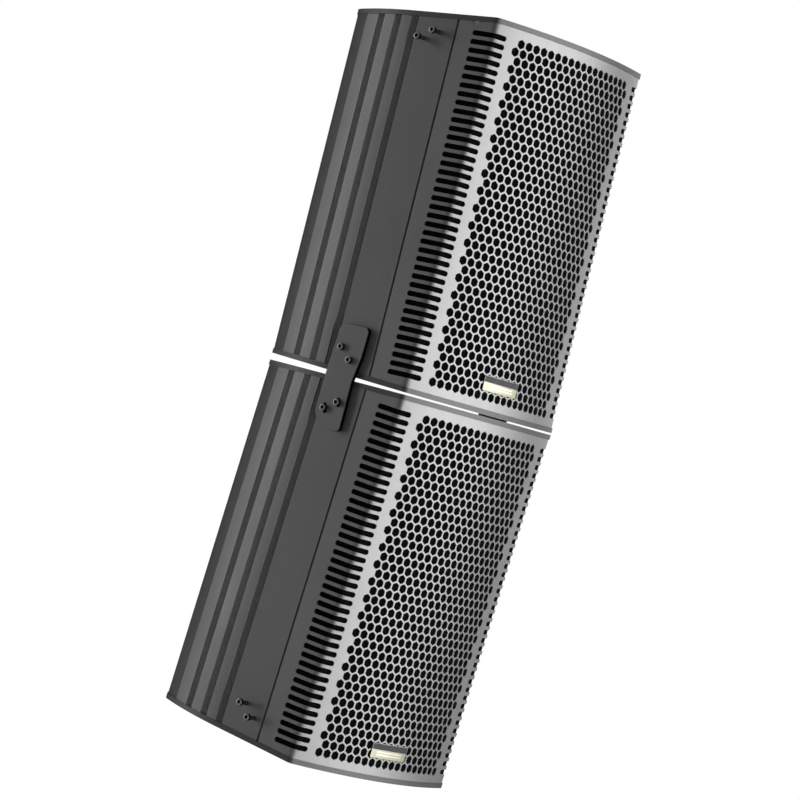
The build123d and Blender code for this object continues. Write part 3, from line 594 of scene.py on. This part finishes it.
def bolt_rings(stand, n=72):
    """Rings (x, radius function) of a knurled M5 socket-head bolt; x = 0 at the side panel."""
    ang = np.arange(n) * 2 * math.pi / n
    rings = []

    def ring(x, r):
        rr = r if isinstance(r, np.ndarray) else np.full(n, r)
        rings.append(np.stack([np.full(n, x), rr * np.cos(ang), rr * np.sin(ang)], 1))

    def hexr(af):
        t = (ang + math.pi / 6) % (math.pi / 3) - math.pi / 6
        return (af / 2) / np.cos(t)

    x0 = -0.0148
    ring(x0, 0.0018)
    ring(x0 + 0.0005, 0.0023)
    pitch = 0.0008
    steps = int(round((stand - 0.0006 - (x0 + 0.0006)) / 0.00016))
    for i in range(steps + 1):
        x = x0 + 0.0006 + i * 0.00016
        ph = (x / pitch - ang / (2 * math.pi)) % 1.0
        tri = np.abs(ph * 2 - 1)
        ring(x, 0.00222 + 0.00027 * tri)
    ring(stand - 0.0004, 0.00246)
    ring(stand, 0.0026)
    ring(stand, 0.0037)
    ring(stand + 0.0002, 0.0040)
    knurl = 0.00417 + 0.00008 * np.where((np.arange(n) % 2) == 0, 1.0, -1.0)
    ring(stand + 0.0004, 0.00412)
    ring(stand + 0.0006, knurl)
    ring(stand + 0.0042, knurl)
    ring(stand + 0.0044, 0.00412)
    ring(stand + 0.0048, 0.0039)
    ring(stand + 0.0050, 0.0036)
    ring(stand + 0.0050, hexr(0.0044))
    ring(stand + 0.0048, hexr(0.00404))
    ring(stand + 0.0026, hexr(0.00400))
    ring(stand + 0.0022, hexr(0.0024))
    return rings


def lathe_faces(rings, n, base=0):
    """Faces of a turned solid, and which of them are the head rim, coloured lighter grey as a painted highlight.
    """
    f, mi = [], []
    for i in range(len(rings) - 1):
        for j in range(n):
            a, b = base + i * n + j, base + i * n + (j + 1) % n
            f.append((a, a + n, b + n, b))
            # material 1 is the lighter grey painted highlight on the head rim
            mi.append(1 if i in (len(rings) - 7, len(rings) - 6, len(rings) - 5) else 0)
    f.append(tuple(base + j for j in range(n)))
    last = base + (len(rings) - 1) * n
    f.append(tuple(last + j for j in reversed(range(n))))
    return f, mi + [0, 0]


for node, (tag, mx, body, places, stand) in BOLTS.items():
    verts, faces, rims = [], [], []
    rings = bolt_rings(stand)
    n = 72
    for s in (-1, 1):
        for k, (y, z) in enumerate(places):
            turn = 0.35 + 0.9 * k + 0.5 * s
            ct, st = math.cos(turn), math.sin(turn)
            base = len(verts)
            for r in rings:
                for x, a, b in r:
                    verts.append((s * (HALF_W + x), y + (a * ct - b * st), z + (a * st + b * ct)))
            fs, mi = lathe_faces(rings, n, base)
            faces += fs if s > 0 else [tuple(reversed(q)) for q in fs]
            rims += mi
    o = mesh_object(tag + "_socket_bolts", verts, faces, mx, 38, rims)
    finish_piece(o, body, "black_steel", [MATS["black_steel"], MATS["bolt_rim"]], node)


# ------------------------------------------------------------------ badge
def wrap(pts):
    """(u, z, height off the grille) to module coordinates."""
    p = np.array(pts, float)
    x, y, nx, ny = profile(p[:, 0])
    return np.stack([x + nx * p[:, 2], y + ny * p[:, 2], p[:, 1]], 1)


def rr_loop(w, h, r, n=6, nu=12, nv=3, cz=0.0):
    """Rounded rectangle loop, anticlockwise, with points along its straight sides."""
    pts = []
    for cx_, cz_, a0 in ((w / 2 - r, h / 2 - r, 0), (-w / 2 + r, h / 2 - r, 90),
                         (-w / 2 + r, -h / 2 + r, 180), (w / 2 - r, -h / 2 + r, 270)):
        for i in range(n + 1):
            a = math.radians(a0 + 90 * i / n)
            pts.append((cx_ + r * math.cos(a), cz_ + r * math.sin(a)))
    out = []
    m = len(pts)
    for i in range(m):
        a, b = pts[i], pts[(i + 1) % m]
        out.append(a)
        d = math.hypot(b[0] - a[0], b[1] - a[1])
        k = nu if d > 0.02 else (nv if d > 0.006 else 0)
        for j in range(1, k + 1):
            t = j / (k + 1)
            out.append((a[0] + (b[0] - a[0]) * t, a[1] + (b[1] - a[1]) * t))
    return [(x, z + cz) for x, z in out]


def stack_plate(loops, grid=0.004, hole=None):
    """Closed plate from matching loops [(points, height)...], first at the back; the last is filled."""
    n = len(loops[0][0])
    verts, faces = [], []
    for pts, h in loops:
        verts += [(p[0], p[1], h) for p in pts]
    for i in range(len(loops) - 1):
        for j in range(n):
            a, b = i * n + j, i * n + (j + 1) % n
            faces.append((a, b, b + n, a + n))

    def fill(base, pts, h, flip):
        P = [Vector(p) for p in pts]
        xs = [p[0] for p in pts]
        zs = [p[1] for p in pts]
        inner = []
        gx = np.arange(min(xs) + grid, max(xs) - grid * 0.5, grid)
        gz = np.arange(min(zs) + grid, max(zs) - grid * 0.5, grid)
        for x in gx:
            for z in gz:
                if all(math.hypot(x - p[0], z - p[1]) > grid * 0.4 for p in pts):
                    inner.append(Vector((float(x), float(z))))
        E = [(i, (i + 1) % n) for i in range(n)]
        r = delaunay_2d_cdt(P + inner, E, [], 1, 1e-8, True)
        ids = {}
        for i, src in enumerate(r[3]):
            if src and src[0] < n:
                ids[i] = base + src[0]
            else:
                ids[i] = len(verts)
                verts.append((r[0][i].x, r[0][i].y, h))
        for f in r[2]:
            q = [ids[i] for i in f]
            faces.append(tuple(reversed(q)) if flip else tuple(q))

    fill((len(loops) - 1) * n, loops[-1][0], loops[-1][1], False)
    fill(0, loops[0][0], loops[0][1], True)
    return verts, faces


def circle_loop(cx_, cz_, r, n=40):
    return [(cx_ + r * math.cos(2 * math.pi * i / n), cz_ + r * math.sin(2 * math.pi * i / n)) for i in range(n)]


BADGE_W, BADGE_H, BADGE_Z = 0.0645, 0.0185, 0.0356
badge_mats = [MATS["badge_metal"], MATS["badge_blue"], MATS["badge_bright"]]
for mod, mx, body in MODULES:
    V, F, MI = [], [], []

    def add(v, f, mi):
        b = len(V)
        V.extend(v)
        F.extend([tuple(i + b for i in q) for q in f])
        MI.extend([mi] * len(f))

    w, h, z = BADGE_W, BADGE_H, BADGE_Z
    loops = [(rr_loop(w - 0.0002, h - 0.0002, 0.0016, cz=z), 0.00005),
             (rr_loop(w, h, 0.0017, cz=z), 0.0003),
             (rr_loop(w, h, 0.0017, cz=z), 0.0010),
             (rr_loop(w - 0.0005, h - 0.0005, 0.00145, cz=z), 0.0012),
             (rr_loop(w - 0.0011, h - 0.0011, 0.0012, cz=z), 0.0012),
             (rr_loop(w - 0.0016, h - 0.0016, 0.0010, cz=z), 0.0008)]
    add(*stack_plate(loops), 0)
    # upper dark band inside the rim
    bz = z + h * 0.5 - 0.0008 - 0.0035
    loops = [(rr_loop(w - 0.0018, 0.0069, 0.0006, cz=bz), 0.0008), (rr_loop(w - 0.0018, 0.0069, 0.0006, cz=bz), 0.00095)]
    add(*stack_plate(loops), 1)
    # two plain raised bars
    for bw, bc, dz in ((0.046, 0.0, -0.0014), (0.046, 0.0, -0.0046)):
        lp = rr_loop(bw, 0.0015, 0.0006, n=4, nu=5, nv=3)
        lp = [(p[0] + bc, p[1] + z + dz) for p in lp]
        add(*stack_plate([(lp, 0.0008), (lp, 0.00105)], grid=0.01), 2)
    verts = wrap(V)
    o = mesh_object(mod + "_badge_plate", verts, F, mx, 30, MI)
    finish_piece(o, body, "badge_metal", badge_mats, mod + "_badge")


# ------------------------------------------------------------------ stage, lights and camera
scene = bpy.context.scene
scene.view_settings.view_transform = "Standard"
scene.view_settings.look = "None"

world = bpy.data.worlds.new("studio")
scene.world = world
world.use_nodes = True
world.node_tree.nodes["Background"].inputs[0].default_value = (1, 1, 1, 1)
world.node_tree.nodes["Background"].inputs[1].default_value = 0.13

CENTRE = (CAD_LO + CAD_HI) / 2


def emission(name, strength, color=(1, 1, 1)):
    m = bpy.data.materials.new(name)
    m.use_nodes = True
    nt = m.node_tree
    nt.nodes.clear()
    out = nt.nodes.new("ShaderNodeOutputMaterial")
    em = nt.nodes.new("ShaderNodeEmission")
    em.inputs[0].default_value = (*color, 1)
    em.inputs[1].default_value = strength
    nt.links.new(em.outputs[0], out.inputs[0])
    return m


bm = bmesh.new()
bmesh.ops.create_icosphere(bm, subdivisions=4, radius=14.0)
me = bpy.data.meshes.new("backdrop")
bm.to_mesh(me)
bm.free()
dome = bpy.data.objects.new("backdrop", me)
dome.location = CENTRE
dome.data.materials.append(emission("backdrop_white", 1.0))
dome.visible_diffuse = False
dome.visible_glossy = False
dome.visible_transmission = False
dome.visible_shadow = False
dome.visible_volume_scatter = False
scene.collection.objects.link(dome)

fm = Mat("floor_pale")
fm.to(fm.ramp(fm.noise(3.0, 3.0), [(0.3, (0.80, 0.80, 0.80)), (0.7, (0.84, 0.84, 0.84))]), "Base Color")
fm.set(Roughness=0.7)
FLOOR_Z = CAD_LO.z - 0.55
bm = bmesh.new()
bmesh.ops.create_circle(bm, cap_ends=True, segments=96, radius=2.2)
me = bpy.data.meshes.new("floor")
bm.to_mesh(me)
bm.free()
floor = bpy.data.objects.new("floor", me)
floor.location = (CENTRE.x, CENTRE.y, FLOOR_Z)
floor.data.materials.append(fm.m)
scene.collection.objects.link(floor)


def area_light(name, az, el, dist, size, power, size_y=None, target=None, color=(1, 1, 1), spread=None):
    a, e = math.radians(az), math.radians(el)
    back = Vector((math.sin(a) * math.cos(e), -math.cos(a) * math.cos(e), math.sin(e)))
    t = target or CENTRE
    d = bpy.data.lights.new(name, "AREA")
    d.shape = "RECTANGLE"
    d.size = size
    d.size_y = size_y or size
    d.energy = power
    d.color = color
    if spread:
        d.spread = math.radians(spread)
    o = bpy.data.objects.new(name, d)
    o.location = t + back * dist
    o.rotation_euler = back.to_track_quat("Z", "Y").to_euler()
    scene.collection.objects.link(o)
    return o


area_light("key_front", 31.0, 4.0, 2.6, 2.2, 101.0, 2.4)
area_light("corner", -18.0, 4.0, 2.6, 0.4, 17.0, 2.4)
area_light("side_rear", -150.0, 4.0, 2.4, 0.7, 15.0, 2.0)
area_light("fill_right", 95.0, 12.0, 3.2, 1.5, 18.0, 2.0)
area_light("top", 0.0, 82.0, 2.6, 1.6, 14.0)

H = 0.45
AZ, EL, ROLL = -0.8667700659670324, -0.019875248821601892, 0.24555960818133038
DIST = math.exp(2.4059441806430133) * H
FPX = 4152.634603923947
TX, TZ = -0.020872506749750087 * H, -0.011107655846256562 * H
right = Vector((math.cos(AZ), math.sin(AZ), 0))
back = Vector((math.sin(AZ) * math.cos(EL), -math.cos(AZ) * math.cos(EL), math.sin(EL)))
up = back.cross(right)
target = PIVOT + Vector((0, 0.25 * H, 0)) + right * TX + up * TZ
cam_data = bpy.data.cameras.new("camera")
cam_data.sensor_width = 36.0
cam_data.lens = FPX / 800.0 * 36.0
cam_data.clip_end = 60.0
cam = bpy.data.objects.new("camera", cam_data)
cx = right * math.cos(ROLL) + up * math.sin(ROLL)
cy = -right * math.sin(ROLL) + up * math.cos(ROLL)
m = Matrix((cx, cy, back)).transposed().to_4x4()
m.translation = target + back * DIST
cam.matrix_world = m
scene.collection.objects.link(cam)
scene.camera = cam
